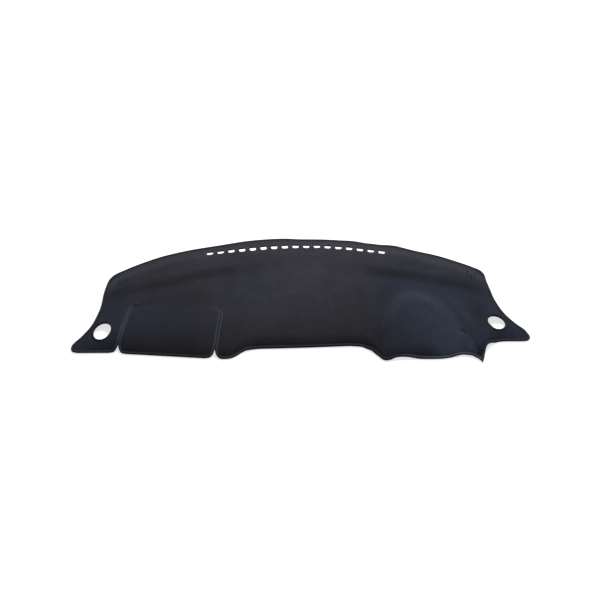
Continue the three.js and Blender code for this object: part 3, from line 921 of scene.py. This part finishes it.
def thread_material():
    material, n, shader = new_material("black overlock thread")
    coordinates = n.add("ShaderNodeTexCoord").outputs
    uv = n.add("ShaderNodeSeparateXYZ")
    n.feed(uv, Vector=coordinates["UV"])
    slant = n.math("MULTIPLY_ADD", uv.outputs["Y"], 0.056, uv.outputs["X"])
    strand = n.math("PINGPONG", slant, 0.5)
    raised = n.between(strand, 0.08, 0.42)
    fine = fibres_in(n, coordinates["Object"], 900.0, 0.8)
    # The raised strands of each stitch get the painted highlight colour over the dark thread
    base = n.blend(raised, THREAD_DARK, THREAD_PAINTED_HIGHLIGHT)
    # Painted highlight on the bead's ridge, 3.7 mm in from the edge, and painted shade off it, also
    # on the thread's underside
    from_edge = read_attribute(n, "from_edge")
    from_ridge = n.math("ABSOLUTE", n.math("SUBTRACT", from_edge, 3.7))
    ridge_light_and_shade = n.between(from_ridge, 0.7, 2.6, 1.3, read_attribute(n, "off_ridge_shade"))
    shade = n.math("MULTIPLY", n.math("MAXIMUM", fine["Shade"], 0.3), ridge_light_and_shade)
    shade = n.math("MULTIPLY", shade, read_attribute(n, "thread_tone"))
    shaded = n.add("ShaderNodeVectorMath", operation="SCALE")
    n.feed(shaded, Vector=base, Scale=shade)
    n.feed(shader, Base_Color=shaded.outputs[0], Roughness=0.82, IOR=1.45)
    shader.inputs["Specular IOR Level"].default_value = 0.25
    shader.inputs["Sheen Weight"].default_value = 0.06
    shader.inputs["Sheen Roughness"].default_value = 0.4
    height = n.math("ADD", raised, n.math("MULTIPLY", fine["Height"], 0.35))
    bump = n.add("ShaderNodeBump")
    n.feed(bump, Strength=0.7, Distance=0.0006, Height=height)
    n.feed(shader, Normal=bump.outputs[0])
    return material


felt_finish = felt_material()
thread_finish = thread_material()
felt_cover.data.materials.append(felt_finish)
for band in [edge_overlock, *opening_overlocks]:
    band.data.materials.append(thread_finish)

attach(felt_cover, "root")
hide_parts(*[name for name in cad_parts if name.startswith("felt_")])
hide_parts("edge_binding")
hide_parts("left_opening_edging")
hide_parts("right_opening_edging")
for band in [edge_overlock, *opening_overlocks]:
    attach(band, "root")

# Floor
deselect_all()
bpy.ops.mesh.primitive_plane_add(size=24)
floor = bpy.context.object
floor.name = "studio_floor"
floor_finish = bpy.data.materials.new("white studio floor")
floor_finish.use_nodes = True
floor_finish.node_tree.nodes.clear()
n = Nodes(floor_finish.node_tree)
paint = n.feed(n.add("ShaderNodeBsdfDiffuse"), Color=(0.62, 0.62, 0.62, 1))
glow = n.add("ShaderNodeEmission")
path = n.add("ShaderNodeLightPath").outputs
seen = n.math("MAXIMUM", path["Is Camera Ray"], path["Is Glossy Ray"])
seen = n.math("MAXIMUM", seen, path["Is Transmission Ray"])
n.feed(glow, Strength=n.math("MULTIPLY", seen, 0.7))
both = n.add("ShaderNodeAddShader")
floor_finish.node_tree.links.new(paint.outputs[0], both.inputs[0])
floor_finish.node_tree.links.new(glow.outputs[0], both.inputs[1])
output = n.add("ShaderNodeOutputMaterial")
floor_finish.node_tree.links.new(both.outputs[0], output.inputs["Surface"])
floor.data.materials.append(floor_finish)

# Light: a wide soft lamp overhead, a little towards the windscreen, and a dim even room
world = bpy.data.worlds.new("studio")
bpy.context.scene.world = world
world.use_nodes = True
world.node_tree.nodes.clear()
n = Nodes(world.node_tree)
room = n.feed(n.add("ShaderNodeBackground"), Color=(1, 1, 1, 1))
path = n.add("ShaderNodeLightPath").outputs
n.feed(room, Strength=n.math("MULTIPLY_ADD", path["Is Camera Ray"], 0.82, 0.18))
output = n.add("ShaderNodeOutputWorld")
world.node_tree.links.new(room.outputs[0], output.inputs["Surface"])


def soft_lamp(name, place, target, size, power):
    lamp = bpy.data.lights.new(name, "AREA")
    lamp.shape = "RECTANGLE"
    lamp.size, lamp.size_y = size
    lamp.energy = power
    holder = bpy.data.objects.new(name, lamp)
    bpy.context.scene.collection.objects.link(holder)
    holder.location = place
    away = Vector(place) - Vector(target)
    holder.rotation_euler = away.to_track_quat("Z", "Y").to_euler()


soft_lamp("window_lamp", (0.5, 2.0, 2.4), (0, 0.05, 0), (2.4, 1.4), 120)

# Camera
azimuth, elevation = math.radians(CAMERA_AZIMUTH), math.radians(CAMERA_ELEVATION)
back = Vector((
    math.sin(azimuth) * math.cos(elevation),
    -math.cos(azimuth) * math.cos(elevation),
    math.sin(elevation),
))
camera_data = bpy.data.cameras.new("camera")
camera_data.lens = CAMERA_LENS
camera_data.sensor_width = 36
camera = bpy.data.objects.new("camera", camera_data)
bpy.context.scene.collection.objects.link(camera)
camera.location = Vector((PLAN_SHIFT[0] * MM, PLAN_SHIFT[1] * MM, 0)) + back * CAMERA_DISTANCE
camera.rotation_euler = back.to_track_quat("Z", "Y").to_euler()
bpy.context.scene.camera = camera
bpy.context.scene.view_settings.view_transform = "Standard"
